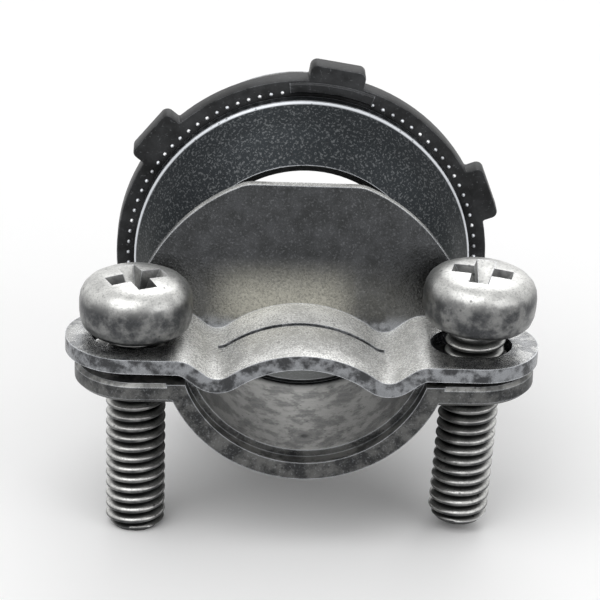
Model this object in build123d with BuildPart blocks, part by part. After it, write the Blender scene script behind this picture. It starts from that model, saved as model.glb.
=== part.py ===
from build123d import *
import os
from math import cos, radians, sin, sqrt, tan

# Two-screw cable clamp connector, millimetres.
# The cable enters at -Y, lies in the jaw under the strap and leaves through the nipple at +Y.
# The origin is on the bore axis, in the plane of the flange's seat face. +Z is up.

# Bore, nipple and flange
bore_radius = 8.0
mouth_radius = 8.65         # bore mouth on the front of the collar
thread_radius = 10.65       # outside of the nipple thread
nipple_length = 10.5
nipple_chamfer = 0.7
flange_radius = 12.1
flange_thickness = 1.0
collar_depth = 4.6          # seat face to the front edge of the collar
collar_bulge = 0.3          # how far the collar's front stands out of a straight cone

# Jaw, cheeks and ears of the body
jaw_radius = 10.0
jaw_floor_radius = 8.25
jaw_front = 16.4            # seat face to the front lip
lip_radius = 8.75           # rebate behind the front lip
lip_depth = 1.0
ear_top = -2.9
ear_thickness = 1.4
ear_depth = 8.6
ear_reach = 4.25            # screw axis to the end of an ear
ear_edge = 0.25
cheek_top = 1.5             # height where the sloping cheeks meet the collar
cheek_foot = 6.7            # seat face to the foot of the cheeks
cheek_head = 4.5            # seat face to the top of the cheeks
jaw_easing = 0.5            # chamfer on the jaw's inner edges, for the strap's dips

# Screws
screw_spacing = 23.4
screw_radius = 2.083
screw_length = 15.0
tip_chamfer = 0.5
head_radius = 3.93
head_height = 3.9
head_seat_radius = 3.0
head_under = 0.85           # height of the bevel under the head
head_side = 2.35            # height of the top of the head's upright side
head_shoulder_radius = 3.2
head_shoulder = 3.4
head_top_radius = 2.1
recess_length = 4.0
recess_width = 0.95
recess_depth = 1.7
recess_taper = 12           # degrees
left_seat = -0.6            # height of the left head's underside
right_seat = 0.15           # the right screw is backed out a little further
right_lean = 3.0            # degrees, head outwards
screw_play = 0.18           # radial play of a screw in its ear
clamp_travel = 4.0          # how far the clamp opens

# Strap
strap_thickness = 1.05
strap_reach = 4.65          # slot's middle to the end of a strap ear
strap_shift = -0.2          # the loose strap sits a little to the left
strap_roll = 0.9            # degrees, right end low
strap_gap = 0.58            # body ear to strap ear, at the middle
bend_reach = 8.2            # middle to where each ear turns down
dip_reach = 5.8
dip_depth = 1.75
crest_rise = 0.65
dip_round = 1.8
bend_round = 1.5
slot_length = 5.7
slot_width = 4.7
slot_offset = 0.05          # the slots sit this much further out than the screws
bead_place = 11.15          # seat face to the groove across the arch
bead_width = 0.5
bead_depth = 0.22

# Shield that stands up from the strap's rear edge
shield_radius = 12.1
shield_drop = 3.5           # outline's centre below the bore axis
shield_top = 7.9
shield_lean = 9.0           # degrees back from upright
shield_corner = 2.6

# Locknut
locknut_play = 0.25         # loose on the thread
locknut_drop = 0.2          # hangs this far below the bore axis
locknut_gap = 0.3           # seat face to locknut
locknut_radius = 13.4
locknut_plate = 1.7
locknut_hub_radius = 12.1
locknut_hub_height = 3.0
locknut_edge = 0.25
lug_count = 6
lug_height = 1.05           # how far a lug stands out of the ring
lug_width = 4.0
lug_corner = 0.5
lug_turn = 20.5             # degrees, first lug from +X

# Places worked out from the sizes above
ear_middle = jaw_front - ear_depth / 2
ear_bottom = ear_top - ear_thickness
ear_span = screw_spacing + 2 * ear_reach
slot_spacing = screw_spacing + 2 * slot_offset
strap_span = slot_spacing + 2 * strap_reach
strap_rear = jaw_front - ear_depth
across = (cos(radians(strap_roll)), 0, -sin(radians(strap_roll)))
upward = (sin(radians(strap_roll)), 0, cos(radians(strap_roll)))
strap_seat = (strap_shift, 0, ear_top + strap_gap + strap_thickness / 2)
strap_section = Plane(strap_seat, x_dir=across, z_dir=(0, -1, 0))
strap_plan = Plane(strap_seat, x_dir=across, z_dir=upward)


def shaft_place(side, height, lift=0.0):
    """X of a screw's axis at a height, once the clamp has lifted."""
    lean = right_lean if side > 0 else 0.0
    pivot = (ear_top + ear_bottom) / 2
    return side * screw_spacing / 2 + (height - lift - pivot) * tan(radians(lean))


def make_cheeks():
    """Sloping walls that carry the sides of the jaw up to the collar."""
    with BuildPart() as cheeks:
        with BuildSketch(Plane.XZ.offset(flange_thickness)):
            Circle(jaw_radius)
            Circle(jaw_floor_radius, mode=Mode.SUBTRACT)
        extrude(amount=cheek_foot - flange_thickness)
        with BuildSketch(Plane.YZ):
            with BuildLine():
                Polyline(
                    (-flange_thickness, ear_bottom),
                    (-cheek_foot, ear_bottom),
                    (-cheek_foot, ear_top),
                    (-cheek_head, cheek_top),
                    (-flange_thickness, cheek_top),
                    close=True,
                )
            make_face()
        extrude(amount=jaw_radius, both=True, mode=Mode.INTERSECT)
    return cheeks.part


def make_ears():
    """Flat plate with round ends that carries both screws."""
    with BuildPart() as ears:
        with BuildSketch(Plane.XY.offset(ear_bottom)):
            with Locations((0, -ear_middle)):
                SlotOverall(ear_span, ear_depth)
        extrude(amount=ear_thickness)
        chamfer(ears.faces().filter_by(Axis.Z).edges(), length=ear_edge)
    return ears.part


def make_body():
    """Nipple, flange, collar, jaw and ears, cast as one piece."""
    cheeks = make_cheeks()
    ears = make_ears()
    with BuildPart() as body:
        # nipple, flange and domed collar, turned about the bore
        with BuildSketch(Plane.XY):
            with BuildLine():
                Polyline(
                    (mouth_radius, -collar_depth),
                    (bore_radius, mouth_radius - bore_radius - collar_depth),
                    (bore_radius, nipple_length),
                    (thread_radius - nipple_chamfer, nipple_length),
                    (thread_radius, nipple_length - nipple_chamfer),
                    (thread_radius, 0),
                    (flange_radius, 0),
                    (flange_radius, -flange_thickness),
                    (
                        (flange_radius + mouth_radius) / 2 + collar_bulge,
                        -(flange_thickness + collar_depth) / 2 - collar_bulge,
                    ),
                    close=True,
                )
            make_face()
        revolve(axis=Axis.Y)
        # half-round jaw, with its ears and cheeks
        with BuildSketch(Plane.XZ.offset(flange_thickness)):
            Circle(jaw_radius)
            with Locations((0, ear_top)):
                Rectangle(
                    3 * jaw_radius,
                    3 * jaw_radius,
                    align=(Align.CENTER, Align.MIN),
                    mode=Mode.SUBTRACT,
                )
        extrude(amount=jaw_front - flange_thickness)
        add(ears)
        add(cheeks)
        # eased inner edges along the top of the jaw
        with BuildSketch(Plane.XZ.offset(cheek_foot)):
            edge = sqrt(jaw_floor_radius**2 - ear_top**2)
            with BuildLine():
                Polyline(
                    (-edge - jaw_easing, ear_top),
                    (edge + jaw_easing, ear_top),
                    (edge, ear_top - jaw_easing),
                    (-edge, ear_top - jaw_easing),
                    close=True,
                )
            make_face()
        extrude(amount=jaw_front - cheek_foot, mode=Mode.SUBTRACT)
        # bore, the jaw's floor, and the rebate behind the front lip
        with BuildSketch(Plane.XZ.offset(-nipple_length)):
            Circle(bore_radius)
        extrude(amount=nipple_length + collar_depth, mode=Mode.SUBTRACT)
        with BuildSketch(Plane.XZ.offset(collar_depth)):
            Circle(jaw_floor_radius)
        extrude(amount=jaw_front - collar_depth, mode=Mode.SUBTRACT)
        with BuildSketch(Plane.XZ.offset(jaw_front)):
            Circle(lip_radius)
        extrude(amount=-lip_depth, mode=Mode.SUBTRACT)
        # holes for the clamp screws, centred on the middle of the travel
        with BuildSketch(Plane.XY.offset(ear_bottom)):
            for side in (-1, 1):
                middle = (ear_top + ear_bottom) / 2
                hole_x = shaft_place(side, middle, clamp_travel / 2)
                with Locations((hole_x, -ear_middle)):
                    Circle(screw_radius + screw_play)
        extrude(amount=ear_thickness, mode=Mode.SUBTRACT)
    return body.part


def strap_curve(drop=0.0):
    """Middle line of the strap, seen from the front: ear, dip, arch, dip, ear."""
    with BuildLine(mode=Mode.PRIVATE) as curve:
        Polyline((-strap_span, -drop), (-bend_reach, -drop), (-dip_reach, -dip_depth - drop))
        ThreePointArc(
            (-dip_reach, -dip_depth - drop),
            (0, crest_rise - drop),
            (dip_reach, -dip_depth - drop),
        )
        Polyline((dip_reach, -dip_depth - drop), (bend_reach, -drop), (strap_span, -drop))
        dips = curve.vertices().filter_by(lambda v: abs(abs(v.X) - dip_reach) < 0.001)
        fillet(dips, radius=dip_round)
        bends = curve.vertices().filter_by(lambda v: abs(abs(v.X) - bend_reach) < 0.001)
        fillet(bends, radius=bend_round)
    return curve.wire()


def make_shield():
    """Upright plate with a flat top and round shoulders, its foot shaped to the strap."""
    lean = radians(shield_lean)
    foot = (strap_shift, -strap_rear, strap_seat[2])
    face = Plane(foot, x_dir=across, z_dir=(0, -cos(lean), sin(lean)))
    with BuildPart() as shield:
        with BuildSketch(face) as outline:
            with Locations((0, -shield_drop - strap_seat[2])):
                Circle(shield_radius)
            with Locations((0, shield_top - strap_seat[2])):
                Rectangle(
                    2 * shield_radius,
                    shield_radius,
                    align=(Align.CENTER, Align.MIN),
                    mode=Mode.SUBTRACT,
                )
            fillet(outline.vertices().group_by(Axis.Y)[-1], radius=shield_corner)
        extrude(amount=-strap_thickness)
        # the foot ends inside the strap
        with BuildSketch(strap_section):
            with BuildLine():
                add(strap_curve())
                Polyline(
                    (strap_span, 0),
                    (strap_span, -strap_span),
                    (-strap_span, -strap_span),
                    (-strap_span, 0),
                )
            make_face()
        extrude(amount=jaw_front, mode=Mode.SUBTRACT)
    return shield.part


def make_strap():
    """Pressed strap: two slotted ears, two dips, the arch and the shield."""
    shield = make_shield()
    foot_rear = strap_rear - strap_thickness / cos(radians(shield_lean))
    with BuildPart() as strap:
        # the whole depth takes the curve, and the plan is cut from it
        with BuildSketch(strap_section):
            trace(strap_curve(), line_width=strap_thickness)
        extrude(amount=jaw_front)
        with BuildSketch(strap_plan.offset(-strap_span / 2)):
            with Locations((0, -ear_middle)):
                SlotOverall(strap_span, ear_depth)
            with Locations((0, -foot_rear)):
                Rectangle(
                    2 * (shield_radius - strap_thickness),
                    ear_depth,
                    align=(Align.CENTER, Align.MAX),
                )
        extrude(amount=strap_span, mode=Mode.INTERSECT)
        # slots for the screws
        with BuildSketch(strap_plan.offset(-strap_span / 2)):
            with Locations((-slot_spacing / 2, -ear_middle), (slot_spacing / 2, -ear_middle)):
                SlotOverall(slot_length, slot_width)
        extrude(amount=strap_span, mode=Mode.SUBTRACT)
        # groove pressed across the arch
        with BuildSketch(strap_section.offset(bead_place - bead_width / 2)):
            trace(strap_curve(bead_depth - strap_thickness), line_width=strap_thickness)
            Rectangle(2 * dip_reach, strap_span, mode=Mode.INTERSECT)
        extrude(amount=bead_width, mode=Mode.SUBTRACT)
        add(shield)
    return strap.part


def make_locknut():
    """Ring with a raised hub and six lugs, a close fit on the nipple."""
    bore = thread_radius + locknut_play
    seat = Plane((0, locknut_gap, -locknut_drop), x_dir=(1, 0, 0), z_dir=(0, -1, 0))
    with BuildPart() as nut:
        with BuildSketch(seat):
            Circle(locknut_radius)
            with PolarLocations(locknut_radius, lug_count, start_angle=lug_turn):
                RectangleRounded(2 * lug_height, lug_width, lug_corner)
            Circle(bore, mode=Mode.SUBTRACT)
        extrude(amount=-locknut_plate)
        with BuildSketch(seat.offset(-locknut_plate)):
            Circle(locknut_hub_radius)
            Circle(bore, mode=Mode.SUBTRACT)
        extrude(amount=locknut_plate - locknut_hub_height)
        rear = nut.faces().sort_by(Axis.Y)[-1].edges().sort_by(SortBy.RADIUS)[-1]
        chamfer(rear, length=locknut_edge)
    return nut.part


def make_screw(side, seat):
    """Round-headed screw with a cross recess, its shank at the thread's outside."""
    lean = radians(right_lean if side > 0 else 0.0)
    foot = (shaft_place(side, seat), -ear_middle, seat)
    way = (sin(lean), 0, cos(lean))
    beside = (cos(lean), 0, -sin(lean))
    with BuildPart() as screw:
        with BuildSketch(Plane(foot, x_dir=beside, z_dir=(0, -1, 0))):
            with BuildLine():
                Polyline(
                    (0, -screw_length),
                    (screw_radius - tip_chamfer, -screw_length),
                    (screw_radius, tip_chamfer - screw_length),
                    (screw_radius, 0),
                    (head_seat_radius, 0),
                    (head_radius, head_under),
                    (head_radius, head_side),
                    (head_shoulder_radius, head_shoulder),
                    (head_top_radius, head_height),
                    (0, head_height),
                    close=True,
                )
            make_face()
        revolve(axis=Axis(foot, way))
        with BuildSketch(Plane(foot, x_dir=beside, z_dir=way).offset(head_height)):
            Rectangle(recess_length, recess_width)
            Rectangle(recess_width, recess_length)
        extrude(amount=-recess_depth, taper=recess_taper, mode=Mode.SUBTRACT)
    return screw.part


pieces = {
    "connector_body": make_body(),
    "clamp_strap": make_strap(),
    "locknut": make_locknut(),
    "left_screw": make_screw(-1, left_seat),
    "right_screw": make_screw(1, right_seat),
}
os.makedirs("parts", exist_ok=True)
for name, piece in pieces.items():
    piece.label = name
    export_step(piece, f"parts/{name}.step")
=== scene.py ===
import math

import bmesh
import bpy
from mathutils import Matrix, Vector


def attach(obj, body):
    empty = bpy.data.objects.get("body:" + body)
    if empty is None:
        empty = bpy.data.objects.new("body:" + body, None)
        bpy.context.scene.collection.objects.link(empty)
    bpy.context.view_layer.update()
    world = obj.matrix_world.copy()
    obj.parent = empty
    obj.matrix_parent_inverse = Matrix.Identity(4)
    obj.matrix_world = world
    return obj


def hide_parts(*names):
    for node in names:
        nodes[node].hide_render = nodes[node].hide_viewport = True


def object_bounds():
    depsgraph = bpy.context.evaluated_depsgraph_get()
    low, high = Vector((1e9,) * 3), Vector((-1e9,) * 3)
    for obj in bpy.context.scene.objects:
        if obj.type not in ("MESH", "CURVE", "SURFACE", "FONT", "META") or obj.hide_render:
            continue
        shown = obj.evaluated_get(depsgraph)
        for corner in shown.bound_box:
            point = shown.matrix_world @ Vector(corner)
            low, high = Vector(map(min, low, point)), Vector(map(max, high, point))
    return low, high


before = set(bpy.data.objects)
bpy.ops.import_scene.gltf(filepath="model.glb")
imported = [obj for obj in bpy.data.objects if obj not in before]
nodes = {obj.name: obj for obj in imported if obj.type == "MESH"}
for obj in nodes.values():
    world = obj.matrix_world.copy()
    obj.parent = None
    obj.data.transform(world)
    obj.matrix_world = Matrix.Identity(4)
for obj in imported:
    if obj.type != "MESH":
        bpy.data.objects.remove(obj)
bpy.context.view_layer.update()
mm = 0.001


# helpers for modelling
def clearSelection():
    if bpy.context.object and bpy.context.object.mode != "OBJECT":
        bpy.ops.object.mode_set(mode="OBJECT")
    bpy.ops.object.select_all(action="DESELECT")


def pick(obj):
    clearSelection()
    obj.select_set(True)
    bpy.context.view_layer.objects.active = obj
    return obj


def applyModifier(obj, kind, **settings):
    pick(obj)
    modifier = obj.modifiers.new(kind.title(), kind)
    for key, value in settings.items():
        setattr(modifier, key, value)
    bpy.ops.object.modifier_apply(modifier=modifier.name)


def editAll(obj):
    pick(obj)
    bpy.ops.object.mode_set(mode="EDIT")
    bpy.ops.mesh.select_all(action="SELECT")


def endEdit():
    bpy.ops.object.mode_set(mode="OBJECT")


def copyOfNode(name, newName, flatten=True):  # a merged copy of a CAD node's mesh, to be dressed
    node = nodes[name]
    obj = bpy.data.objects.new(newName, node.data.copy())
    bpy.context.scene.collection.objects.link(obj)
    obj.data.materials.clear()
    pick(obj)
    bpy.ops.mesh.customdata_custom_splitnormals_clear()
    editAll(obj)
    bpy.ops.mesh.remove_doubles(threshold=0.002 * mm)
    if flatten:
        bpy.ops.mesh.dissolve_limited(angle_limit=math.radians(0.6))
    endEdit()
    return obj


def smooth(obj, angle=35):
    pick(obj)
    bpy.ops.object.shade_smooth_by_angle(angle=math.radians(angle))


def revolved(name, points, steps):  # a section of (radius, height) in mm, spun about Z
    mesh = bpy.data.meshes.new(name)
    obj = bpy.data.objects.new(name, mesh)
    bpy.context.scene.collection.objects.link(obj)
    edges = [(i, i + 1) for i in range(len(points) - 1)]
    mesh.from_pydata([(r * mm, 0, z * mm) for r, z in points], edges, [])
    editAll(obj)
    bpy.ops.mesh.spin(steps=steps, angle=2 * math.pi, center=(0, 0, 0), axis=(0, 0, 1))
    bpy.ops.mesh.select_all(action="SELECT")
    bpy.ops.mesh.remove_doubles(threshold=0.001 * mm)
    bpy.ops.mesh.normals_make_consistent(inside=False)
    endEdit()
    return obj


def placed(obj, matrix):  # the place goes into the mesh
    obj.data.transform(matrix)
    obj.data.update()
    return obj


def joined(name, parts):
    clearSelection()
    for part in parts:
        part.select_set(True)
    bpy.context.view_layer.objects.active = parts[0]
    bpy.ops.object.join()
    parts[0].name = name
    parts[0].data.name = name
    return parts[0]


# shader maths: an expression on sockets adds its nodes
class Val:
    def __init__(self, tree, socket):
        self.tree = tree
        self.socket = socket

    def math(self, operation, other=None, first=None):
        node = self.tree.nodes.new("ShaderNodeMath")
        node.operation = operation
        values = [self, other] if first is None else [first, self]
        for slot, value in zip(node.inputs, values):
            if isinstance(value, Val):
                self.tree.links.new(value.socket, slot)
            elif value is not None:
                slot.default_value = value
        return Val(self.tree, node.outputs[0])

    def __add__(self, other):
        return self.math("ADD", other)

    def __radd__(self, other):
        return self.math("ADD", other)

    def __sub__(self, other):
        return self.math("SUBTRACT", other)

    def __rsub__(self, other):
        return self.math("SUBTRACT", first=other)

    def __mul__(self, other):
        return self.math("MULTIPLY", other)

    def __rmul__(self, other):
        return self.math("MULTIPLY", other)

    def power(self, exponent):
        return self.math("POWER", exponent)

    def above(self, low, high):  # 0 below low, 1 above high
        node = self.tree.nodes.new("ShaderNodeMapRange")
        node.interpolation_type = "SMOOTHSTEP"
        node.inputs["From Min"].default_value = low
        node.inputs["From Max"].default_value = high
        self.tree.links.new(self.socket, node.inputs["Value"])
        return Val(self.tree, node.outputs["Result"])


class Finish:
    def __init__(self, name):
        self.material = bpy.data.materials.new(name)
        self.material.use_nodes = True
        self.tree = self.material.node_tree
        self.tree.nodes.clear()
        self.output = self.tree.nodes.new("ShaderNodeOutputMaterial")
        self.shader = self.tree.nodes.new("ShaderNodeBsdfPrincipled")
        self.tree.links.new(self.shader.outputs[0], self.output.inputs[0])
        self.place = self.node("ShaderNodeTexCoord", {}, {}).outputs["Object"]

    def node(self, kind, settings, sockets):
        node = self.tree.nodes.new(kind)
        for key, value in settings.items():
            setattr(node, key, value)
        for key, value in sockets.items():
            self.feed(node.inputs[key], value)
        return node

    def feed(self, slot, value):
        if isinstance(value, Val):
            self.tree.links.new(value.socket, slot)
        elif isinstance(value, bpy.types.NodeSocket):
            self.tree.links.new(value, slot)
        else:
            slot.default_value = value

    def noise(self, size, detail=4, rough=0.55, offset=0.0):
        # size is the width of a blotch in millimetres
        moved = self.node("ShaderNodeMapping", {}, {
            "Vector": self.place, "Location": (offset, offset * 0.7, offset * 1.3),
        })
        node = self.node("ShaderNodeTexNoise", {}, {
            "Vector": moved.outputs[0], "Scale": 1 / (size * mm), "Detail": detail, "Roughness": rough,
        })
        return Val(self.tree, node.outputs["Fac"])

    def specks(self, size, offset=0.0):  # distance to the nearest of many scattered points
        moved = self.node("ShaderNodeMapping", {}, {
            "Vector": self.place, "Location": (offset, offset, offset),
        })
        node = self.node("ShaderNodeTexVoronoi", {}, {"Vector": moved.outputs[0], "Scale": 1 / (size * mm)})
        return Val(self.tree, node.outputs["Distance"])

    def edge(self, width):  # 1 at a corner that sticks out, 0 on the flat
        bevel = self.node("ShaderNodeBevel", {"samples": 6}, {"Radius": width * mm})
        normal = self.node("ShaderNodeNewGeometry", {}, {}).outputs["Normal"]
        dot = self.node("ShaderNodeVectorMath", {"operation": "DOT_PRODUCT"}, {
            0: bevel.outputs[0], 1: normal,
        })
        return 1 - Val(self.tree, dot.outputs["Value"])

    def facing(self, axis):  # how much the surface faces along X, Y or Z of the piece
        normal = self.node("ShaderNodeTexCoord", {}, {}).outputs["Normal"]
        split = self.node("ShaderNodeSeparateXYZ", {}, {0: normal})
        return Val(self.tree, split.outputs[axis])

    # distance in a plane from a middle, in millimetres
    def reach(self, first, second, firstMiddle=0.0, secondMiddle=0.0):
        across, back = self.along(first) - firstMiddle, self.along(second) - secondMiddle
        return (across * across + back * back).power(0.5)

    def along(self, axis):  # the place along an axis, in millimetres
        split = self.node("ShaderNodeSeparateXYZ", {}, {0: self.place})
        return Val(self.tree, split.outputs[axis]) * 1000

    def mix(self, share, first, second):
        node = self.node("ShaderNodeMix", {"data_type": "RGBA"}, {})
        for slot, value in ((0, share), (6, first), (7, second)):
            self.feed(node.inputs[slot], value)
        return node.outputs[2]

    def bump(self, height, strength, distance):
        node = self.node("ShaderNodeBump", {}, {
            "Height": height, "Strength": strength, "Distance": distance * mm,
        })
        self.tree.links.new(node.outputs[0], self.shader.inputs["Normal"])

    def set(self, **values):
        for key, value in values.items():
            self.feed(self.shader.inputs[key], value)
        return self.material


def shade(value, tint=(0.97, 1.0, 1.05)):
    return (value * tint[0], value * tint[1], value * tint[2], 1)


def wound(name, profile, pitch, turns, steps):  # a section in mm, wound about Z as a thread
    mesh = bpy.data.meshes.new(name)
    obj = bpy.data.objects.new(name, mesh)
    bpy.context.scene.collection.objects.link(obj)
    closed = profile[0] == profile[-1]
    points = profile[:-1] if closed else profile
    edges = [(i, (i + 1) % len(points)) for i in range(len(points) if closed else len(points) - 1)]
    mesh.from_pydata([(r * mm, 0, z * mm) for r, z in points], edges, [])
    applyModifier(obj, "SCREW", axis="Z", screw_offset=pitch * mm, iterations=turns, steps=steps,
                  render_steps=steps, use_normal_calculate=True, use_merge_vertices=False)
    editAll(obj)
    bpy.ops.mesh.remove_doubles(threshold=0.001 * mm)
    endEdit()
    return obj


def cutAcross(obj, height, upper):  # keeps what is under a height, or above it, and closes the cut
    editAll(obj)
    bpy.ops.mesh.bisect(plane_co=(0, 0, height * mm), plane_no=(0, 0, 1), use_fill=True,
                        threshold=0.0001 * mm, clear_outer=upper, clear_inner=not upper)
    bpy.ops.mesh.select_all(action="SELECT")
    bpy.ops.mesh.normals_make_consistent(inside=False)
    endEdit()


def cutWith(obj, cutter):
    applyModifier(obj, "BOOLEAN", operation="DIFFERENCE", object=cutter, solver="EXACT")
    bpy.data.objects.remove(cutter)


def finished(obj, material, body, *replaced):
    obj.data.materials.clear()
    obj.data.materials.append(material)
    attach(obj, body)
    if replaced:
        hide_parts(*replaced)
    print("piece", obj.name, len(obj.data.polygons), "faces")
    return obj


# camera
view = {"azimuth": -1.979, "elevation": 24.012, "roll": 1.555, "distance": 221.475, "lens": 192.54,
        "aim": (0, -12.5, 0), "aimRight": -0.44, "aimUp": 1.67}


def makeCamera():
    data = bpy.data.cameras.new("camera")
    data.lens = view["lens"]
    data.sensor_width = 36
    data.clip_start = 0.01
    camera = bpy.data.objects.new("camera", data)
    bpy.context.scene.collection.objects.link(camera)
    azimuth, elevation = math.radians(view["azimuth"]), math.radians(view["elevation"])
    away = Vector((math.sin(azimuth) * math.cos(elevation), -math.cos(azimuth) * math.cos(elevation),
                   math.sin(elevation)))
    turn = away.to_track_quat("Z", "Y").to_matrix()
    aim = Vector(view["aim"]) + turn.col[0] * view["aimRight"] + turn.col[1] * view["aimUp"]
    roll = Matrix.Rotation(math.radians(view["roll"]), 3, "Z")
    camera.matrix_world = Matrix.Translation((aim + away * view["distance"]) * mm) @ (turn @ roll).to_4x4()
    bpy.context.scene.camera = camera


makeCamera()
print("camera made")

# floor, backdrop light and lamps; a lamp is its place and width in metres, and its watts
studio = {"floor": 0.96, "world": 0.62, "floorSize": 1.6,
          "lamps": {"keyLamp": ((-0.14, -0.18, 0.34), 0.34, 0.62),
                    "fillLamp": ((0.30, -0.24, 0.20), 0.26, 0.26),
                    "rearLamp": ((0.06, 0.28, 0.26), 0.24, 0.34)}}


def seenDirectly(tree):  # 1 for rays from the camera, off metal and through glass
    rays = tree.nodes.new("ShaderNodeLightPath")
    camera, glossy, through = (Val(tree, rays.outputs[name]) for name in
                               ("Is Camera Ray", "Is Glossy Ray", "Is Transmission Ray"))
    return (camera + glossy + through).math("MINIMUM", 1.0)


def makeStudio():
    world = bpy.data.worlds.new("studio")
    bpy.context.scene.world = world
    world.use_nodes = True
    tree = world.node_tree
    tree.nodes.clear()
    background = tree.nodes.new("ShaderNodeBackground")
    background.inputs["Color"].default_value = (1, 1, 1, 1)
    seen = seenDirectly(tree)
    tree.links.new((seen * (1 - studio["world"]) + studio["world"]).socket, background.inputs["Strength"])
    output = tree.nodes.new("ShaderNodeOutputWorld")
    tree.links.new(background.outputs[0], output.inputs[0])
    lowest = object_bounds()[0][2]
    bpy.ops.mesh.primitive_plane_add(size=studio["floorSize"], location=(0, 0, 0))
    floor = bpy.context.object
    floor.name = "floor"
    placed(floor, Matrix.Translation((0, 0, lowest)))
    finish = Finish("paleFloor")
    tone = finish.noise(60, detail=2).above(0.2, 0.8) * 0.015 + studio["floor"]
    finish.feed(finish.shader.inputs["Base Color"], finish.mix(tone, (0, 0, 0, 1), (1, 1, 1, 1)))
    finish.set(Roughness=0.9)
    floor.data.materials.append(finish.material)
    for name, (place, size, watts) in studio["lamps"].items():
        lamp = bpy.data.lights.new(name, "AREA")
        lamp.size = size
        lamp.energy = watts
        obj = bpy.data.objects.new(name, lamp)
        bpy.context.scene.collection.objects.link(obj)
        obj.location = place
        obj.rotation_euler = (Vector(place) - Vector((0, -0.01, 0))).to_track_quat("Z", "Y").to_euler()
    bpy.context.scene.view_settings.view_transform = "Standard"


makeStudio()
print("studio made")

# finishes: painted shade where a surface is upright or deep, painted light where it faces up, and bright
# edges for wear and painted highlights


def makeBodyZinc():
    finish = Finish("bodyZinc")
    up, depth = finish.facing(2), finish.along(1)
    blotch = finish.noise(1.5, detail=7, rough=0.66, offset=0.013)
    fine = finish.noise(0.17, detail=3, rough=0.7, offset=0.031)
    pits = finish.specks(0.6, offset=0.02)
    # painted light: faces turned up are painted lighter and upright faces darker, mixed with random
    # blotches
    lit = up.above(-0.2, 0.95) * 0.5 + blotch.above(0.38, 0.62) * 0.5
    tone = finish.mix(lit, shade(0.026), shade(0.19, (1.0, 1.0, 0.97)))
    tone = finish.mix(fine.above(0.54, 0.68) * 0.26, tone, shade(0.36))
    # faint turning rings and a dark mark on the jaw's floor
    middle = finish.reach(0, 1, 0.1, -13.2)
    floorMask = up.above(0.35, 0.8) * (1 - depth.above(-6.0, -5.0))
    rings = (middle * 8.5 + blotch * 5).math("SINE").above(-0.2, 0.9)
    tone = finish.mix(blotch.above(0.44, 0.56) * floorMask * 0.55, tone, shade(0.32, (1.0, 1.0, 0.96)))
    tone = finish.mix(rings * floorMask * 0.10, tone, shade(0.40, (1.0, 1.0, 0.96)))
    tone = finish.mix((1 - middle.above(0.12, 0.42)) * floorMask, tone, shade(0.02))
    # painted shade: the collar's upright face is painted dark, lighter towards the bottom, with fine light
    # grains; a painted highlight makes the flange's rim bright
    rear = depth.above(-5.6, -4.7) * (1 - depth.above(0.0, 0.12))
    lower = 1 - finish.along(2).above(-3.0, 5.0)
    paintedUprightShade = finish.mix(lower * 0.6, shade(0.021, (0.86, 1.0, 1.12)), shade(0.050, (0.95, 1.02, 0.95)))
    paintedUprightShade = finish.mix(fine.above(0.53, 0.62) * 0.55, paintedUprightShade, shade(0.15, (0.95, 1.0, 1.03)))
    tone = finish.mix(rear, tone, paintedUprightShade)
    # painted highlight: a thin bright line on the flange's rim
    rim = finish.reach(0, 2).above(11.92, 12.0) * depth.above(-1.3, -1.1) * (1 - depth.above(-0.9, -0.7))
    tone = finish.mix(rim * 0.9, tone, shade(0.75))
    # edge wear and painted highlight: corners that stick out are painted bright
    edgeWearAndGlint = finish.edge(0.14).above(0.01, 0.10) * (blotch.above(0.2, 0.55) * 0.7 + 0.3)
    tone = finish.mix(edgeWearAndGlint * 0.75, tone, shade(0.52))
    hole = 1 - pits.above(0.05, 0.2)
    tone = finish.mix(hole * 0.6, tone, shade(0.02))
    finish.bump(fine * 0.5 + blotch * 0.9 - hole * 0.35, 0.5, 0.06)
    return finish.set(**{"Base Color": tone, "Metallic": 0.88, "Roughness": 0.30 + fine * 0.25})


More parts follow.
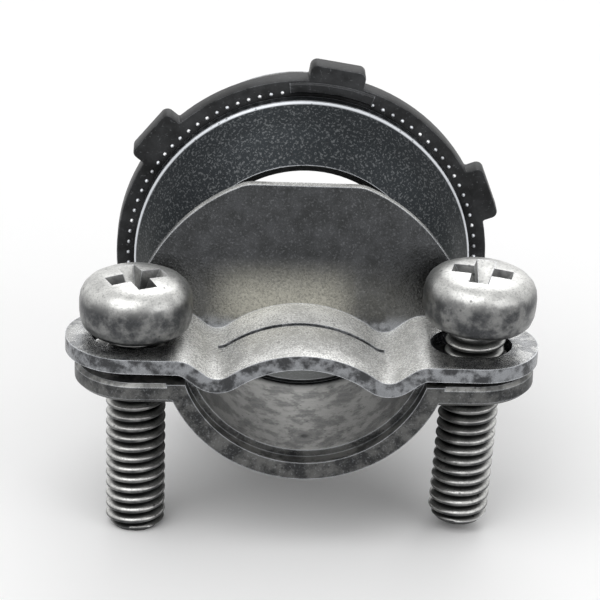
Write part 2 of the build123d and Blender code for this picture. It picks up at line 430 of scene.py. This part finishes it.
def makeStrapZinc():
    finish = Finish("strapZinc")
    up, height, side = finish.facing(2), finish.along(2), finish.along(0)
    blotch = finish.noise(1.3, detail=7, rough=0.66, offset=0.027)
    fine = finish.noise(0.15, detail=3, rough=0.72, offset=0.019)
    # painted light: faces turned up are painted bright, the sides dark with random blotches
    flat = up.above(0.30, 0.92)
    face = finish.mix(blotch.above(0.42, 0.60), shade(0.055), shade(0.27))
    tone = finish.mix(flat, face, shade(0.66, (1.0, 1.0, 0.97)))
    tone = finish.mix(blotch.above(0.46, 0.56) * flat * 0.75, tone, shade(0.17))
    tone = finish.mix(fine.above(0.50, 0.60) * flat * 0.40, tone, shade(0.13))
    # painted highlight: a bright streaked band over the arch and in the dips; the ears' tops darker
    arch = 1 - (side * side).above(60, 95)
    archHighlight = arch * flat * (fine * 0.45 + blotch * 0.55).above(0.44, 0.54)
    tone = finish.mix(archHighlight * 0.85, tone, shade(1.0, (1.0, 1.0, 0.97)))
    ears = (side * side).above(70, 120) * flat
    tone = finish.mix(ears * 0.5, tone, shade(0.20))
    # painted shade: the upright shield is painted dark, with a lighter painted reflection of the strap
    # above the fold
    upright = (1 - up.above(0.35, 0.7)) * height.above(-2.4, -1.2) * finish.along(1).above(-9.6, -8.6)
    paintedUprightShade = finish.mix(blotch.above(0.3, 0.7), shade(0.038, (0.96, 1.0, 1.02)), shade(0.066))
    paintedUprightShade = finish.mix(fine.above(0.56, 0.64) * 0.35, paintedUprightShade, shade(0.20))
    away = ((side + 1.5) * (side + 1.5)).above(3, 34)
    foldReflection = (1 - height.above(-0.6, 2.9)) * (1 - away * 0.85)
    paintedUprightShade = finish.mix(foldReflection * (fine.above(0.3, 0.6) * 0.5 + 0.45), paintedUprightShade, shade(0.38, (1.03, 1.0, 0.86)))
    tone = finish.mix(upright, tone, paintedUprightShade)
    # edge wear and painted highlight: corners that stick out are painted bright
    edgeWearAndGlint = finish.edge(0.14).above(0.01, 0.10)
    tone = finish.mix(edgeWearAndGlint * (blotch * 0.6 + 0.35), tone, shade(0.80))
    finish.bump(fine * 0.6 + blotch * 0.9, 0.75, 0.07)
    metal = 0.92 - arch * flat * 0.5
    return finish.set(**{"Base Color": tone, "Metallic": metal, "Roughness": 0.14 + fine * 0.26})


def makeLocknutSteel(name="locknutSteel", base=0.022):
    finish = Finish(name)
    blotch = finish.noise(2.0, detail=5, rough=0.6, offset=0.011)
    fine = finish.noise(0.20, detail=3, rough=0.7)
    tone = finish.mix(blotch.above(0.3, 0.7), shade(base * 0.6), shade(base * 1.9))
    tone = finish.mix(fine.above(0.60, 0.72) * 0.5, tone, shade(0.16))
    # edge wear and painted highlight: corners that stick out are painted bright
    edgeWearAndGlint = finish.edge(0.14).above(0.02, 0.2) * blotch.above(0.35, 0.6)
    tone = finish.mix(edgeWearAndGlint * 0.75, tone, shade(0.34))
    finish.bump(fine * 0.5 + blotch, 0.4, 0.05)
    return finish.set(**{"Base Color": tone, "Metallic": 0.75, "Roughness": 0.38 + blotch * 0.2})


# the screws' axes, and the radii between which the painted shade in the thread's root fades out towards the
# crest, in mm
threadRootShade = {"side": 11.7, "back": 12.1, "pivot": 3.6, "lean": 0.0524, "root": 1.66, "crest": 2.02}


def makeScrewZinc():
    finish = Finish("screwZinc")
    up, height = finish.facing(2), finish.along(2)
    blotch = finish.noise(1.2, detail=6, rough=0.64, offset=0.017)
    fine = finish.noise(0.15, detail=3, rough=0.7, offset=0.023)
    pits = finish.specks(0.75, offset=0.05)
    # painted light: faces turned up are painted bright and the sides dark, mixed with random blotches
    lit = up.above(0.05, 0.85) * 0.75 + blotch.above(0.38, 0.64) * 0.25
    tone = finish.mix(lit, shade(0.055), shade(0.68, (1.0, 1.0, 0.97)))
    tone = finish.mix(fine.above(0.50, 0.62) * 0.35, tone, shade(0.12))
    hole = (1 - pits.above(0.06, 0.2)) * blotch.above(0.45, 0.55)
    tone = finish.mix(hole * 0.7, tone, shade(0.03))
    # painted shade in the roots of the threads: the right screw's axis leans away with height
    side = finish.along(0)
    lean = (height + threadRootShade["pivot"]) * side.above(-1, 1) * threadRootShade["lean"]
    across = side.math("ABSOLUTE") - threadRootShade["side"] - lean
    back = finish.along(1) + threadRootShade["back"]
    radius = (across * across + back * back).power(0.5)
    root = (1 - radius.above(threadRootShade["root"], threadRootShade["crest"])) * (1 - height.above(-0.9, -0.3))
    tone = finish.mix(root * 0.93, tone, shade(0.010))
    # edge wear and painted highlight: corners that stick out are painted bright
    edgeWearAndGlint = finish.edge(0.12).above(0.01, 0.12) * (1 - root)
    tone = finish.mix(edgeWearAndGlint * 0.5, tone, shade(0.62))
    finish.bump(fine * 0.4 + blotch * 0.8 - hole * 0.4, 0.45, 0.05)
    return finish.set(**{"Base Color": tone, "Metallic": 0.95, "Roughness": 0.20 + fine * 0.26})


bodyZinc = makeBodyZinc()
strapZinc = makeStrapZinc()
locknutSteel = makeLocknutSteel()
# painted highlight: a bright copy of the locknut's steel for the nibs, standing for glints on their tips
nibGlintSteel = makeLocknutSteel("nibGlintSteel", 0.70)
screwZinc = makeScrewZinc()
print("finishes made")

# body: the CAD solid with its nipple turned down to the thread's root, and the thread wound on it
thread = {"outer": 10.65, "root": 9.75, "pitch": 1.814, "end": 10.5, "chamferStart": 9.8, "steps": 72}


def makeBody():
    obj = copyOfNode("connector_body", "connectorBody", flatten=False)
    bm = bmesh.new()
    bm.from_mesh(obj.data)
    for vertex in bm.verts:  # those on the outside of the nipple
        x, y, z = vertex.co / mm
        radius = math.hypot(x, z)
        if y > -0.01 and 9.8 < radius < thread["outer"] + 0.05:
            share = (thread["root"] if y < 10 else thread["root"] - 0.1) / radius
            vertex.co = Vector((x * share, y, z * share)) * mm
    bm.to_mesh(obj.data)
    bm.free()
    smooth(obj, 28)
    return finished(obj, bodyZinc, "connector_body", "connector_body")


def limitRadius(obj, limit):  # pulls a thread in to a radius that depends on the height, both in mm
    for vertex in obj.data.vertices:
        radius = math.hypot(vertex.co.x, vertex.co.y) / mm
        most = limit(vertex.co.z / mm)
        if radius > most:
            vertex.co.x *= most / radius
            vertex.co.y *= most / radius


def makeNippleThread():
    root, outer, start = thread["root"] - 0.1, thread["outer"], -1.9
    section = [(root, -0.80), (root + 0.1, -0.72), (outer - 0.08, -0.20), (outer, -0.10), (outer, 0.10),
               (outer - 0.08, 0.20), (root + 0.1, 0.72), (root, 0.80)]
    section = [(r, z + start) for r, z in section]
    obj = wound("nippleThread", section + section[:1], thread["pitch"], 8, thread["steps"])
    limitRadius(obj, lambda z: outer - max(0, z - thread["chamferStart"]))
    cutAcross(obj, -0.1, False)
    cutAcross(obj, thread["end"] - 0.05, True)
    placed(obj, Matrix.Rotation(math.radians(-90), 4, "X"))
    smooth(obj, 40)
    return finished(obj, bodyZinc, "connector_body")


makeBody()
makeNippleThread()

# strap: the pressed form comes from the CAD solid, with its sheared edges broken
strapSize = {"edge": 0.13}


def makeStrap():
    obj = copyOfNode("clamp_strap", "clampStrap")
    applyModifier(obj, "BEVEL", width=strapSize["edge"] * mm, segments=2, limit_method="ANGLE",
                  angle_limit=math.radians(50))
    smooth(obj, 30)
    return finished(obj, strapZinc, "clamp_strap", "clamp_strap")


makeStrap()

# locknut: the stamped ring, with a ring of small round nibs on the face that bites the wall
locknut = {"centre": (0, 0.3, -0.2), "edge": 0.12, "nibRing": 12.54, "nibCount": 96, "nibRadius": 0.14,
           "gap": (68, 95), "fold": (12.45, 13.25), "foldHeight": 0.16}


def makeLocknut():
    obj = copyOfNode("locknut", "locknut.ring")
    applyModifier(obj, "BEVEL", width=locknut["edge"] * mm, segments=2, limit_method="ANGLE",
                  angle_limit=math.radians(50))
    smooth(obj, 30)
    return finished(obj, locknutSteel, "locknut", "locknut")


def makeNibs():
    centre = Vector(locknut["centre"])
    low, high = locknut["gap"]
    nibs = []
    for index in range(locknut["nibCount"]):
        degrees = 360 * index / locknut["nibCount"]
        if low < degrees < high:
            continue
        angle = math.radians(degrees)
        reach = Vector((math.cos(angle), 0, math.sin(angle))) * locknut["nibRing"]
        if not nibs:
            clearSelection()
            bpy.ops.mesh.primitive_ico_sphere_add(subdivisions=2, radius=locknut["nibRadius"] * mm)
            first = bpy.context.object
            pattern = first.data
            nib = first
        else:
            nib = bpy.data.objects.new("nib", pattern.copy())
            bpy.context.scene.collection.objects.link(nib)
        nibs.append((nib, centre + reach))
    for nib, place in nibs:
        placed(nib, Matrix.Translation(place * mm))
    obj = joined("locknut.nibs", [nib for nib, place in nibs])
    smooth(obj, 60)
    # the nibs take the painted-highlight copy of the steel
    return finished(obj, nibGlintSteel, "locknut")


def makeFold():  # the pad at the root of the top lug, where the nibs stop
    inner, outer = locknut["fold"]
    low, high = (math.radians(a) for a in locknut["gap"])
    front = locknut["centre"][1] - locknut["foldHeight"]
    mesh = bpy.data.meshes.new("locknut.fold")
    obj = bpy.data.objects.new("locknut.fold", mesh)
    bpy.context.scene.collection.objects.link(obj)
    section = [(inner, 0.1), (inner + 0.12, 0), (outer - 0.12, 0), (outer, 0.1), (outer, 0.3), (inner, 0.3)]
    mesh.from_pydata([(r * math.cos(low) * mm, (front + y) * mm, r * math.sin(low) * mm)
                      for r, y in section],
                     [(i, (i + 1) % len(section)) for i in range(len(section))], [])
    editAll(obj)
    bpy.ops.mesh.spin(steps=18, angle=high - low, center=(0, 0, 0), axis=(0, 1, 0))
    bpy.ops.mesh.select_all(action="DESELECT")
    bpy.ops.mesh.select_non_manifold()
    bpy.ops.mesh.fill_holes(sides=0)
    bpy.ops.mesh.select_all(action="SELECT")
    bpy.ops.mesh.normals_make_consistent(inside=False)
    endEdit()
    placed(obj, Matrix.Translation((0, 0, locknut["centre"][2] * mm)))
    smooth(obj, 30)
    return finished(obj, locknutSteel, "locknut")


makeLocknut()
makeNibs()
makeFold()

# screws: a bun head with a tapered cross recess, and a rounded thread down to a chamfered tip;
# each side gives the place of the head's underside, its lean and the turn of its recess
screw = {"length": 15.0, "core": 1.6, "outer": 2.083, "pitch": 0.794, "tip": 0.5, "headRadius": 3.93,
         "headHeight": 3.9, "recessLength": 4.7, "recessWidth": 1.55, "recessDepth": 1.7, "steps": 48,
         "left": ((-11.7, -12.1, -0.6), 0, 24), "right": ((11.8965, -12.1, 0.15), 3, -12)}


def headSection():
    radius, height = screw["headRadius"], screw["headHeight"]
    return [(0, 0), (2.9, 0), (3.4, 0.16), (3.72, 0.5), (3.88, 1.0), (radius, 1.55), (radius, 2.2),
            (radius - 0.08, 2.7), (radius - 0.28, 3.12), (radius - 0.62, 3.46), (radius - 1.1, 3.70),
            (radius - 1.8, 3.83), (1.2, height - 0.02), (0, height)]


def recessBar(length, width, turn):  # one bar of the cross, narrower towards its foot
    height, depth = screw["headHeight"], screw["recessDepth"]
    clearSelection()
    bpy.ops.mesh.primitive_cube_add(size=1)
    bar = bpy.context.object
    for vertex in bar.data.vertices:
        top = vertex.co.z > 0
        long = length * (1.0 if top else 0.40)
        wide = width * (1.0 if top else 0.35)
        vertex.co = Vector((vertex.co.x * long, vertex.co.y * wide,
                            (height + 0.3) if top else (height - depth))) * mm
    return placed(bar, Matrix.Rotation(math.radians(turn), 4, "Z"))


def recessHeart():  # the four-sided point in the middle, set between the bars
    clearSelection()
    bpy.ops.mesh.primitive_cone_add(vertices=4, radius1=0.25 * mm, radius2=1.15 * mm, depth=2.3 * mm,
                                    location=(0, 0, 0))
    heart = bpy.context.object
    middle = (screw["headHeight"] - screw["recessDepth"] - 0.15 + 1.15) * mm
    return placed(heart, Matrix.Translation((0, 0, middle)))


def threadRound(height):  # rounded crest and root over one pitch
    share = 0.5 - 0.5 * math.cos(2 * math.pi * height / screw["pitch"])
    return screw["core"] + (screw["outer"] - screw["core"]) * min(1, 1.12 * share ** 0.8)


def makeScrew(name, side):
    place, lean, turn = screw[side]
    head = revolved(name, headSection(), 72)
    for angle in (0, 90):
        cutWith(head, recessBar(screw["recessLength"], screw["recessWidth"], angle))
    cutWith(head, recessHeart())
    pitch, count = screw["pitch"], 9
    section = [(threadRound(pitch * i / count), pitch * i / count) for i in range(count + 1)]
    start = -screw["length"] - 2 * pitch
    shank = wound(name + ".thread", [(r, z + start) for r, z in section], pitch, 23, screw["steps"])
    tipRadius = screw["outer"] - screw["tip"]
    limitRadius(shank, lambda z: tipRadius + max(0, z + screw["length"]))
    cutAcross(shank, -screw["length"], False)
    cutAcross(shank, 0.25, True)
    smooth(head, 35)
    smooth(shank, 70)
    turned = Matrix.Rotation(math.radians(lean), 4, "Y") @ Matrix.Rotation(math.radians(turn), 4, "Z")
    for part in (head, shank):
        placed(part, Matrix.Translation(Vector(place) * mm) @ turned)
    obj = joined(name + ".dressed", [head, shank])
    return finished(obj, screwZinc, name, name)


makeScrew("left_screw", "left")
makeScrew("right_screw", "right")
print("pieces made")
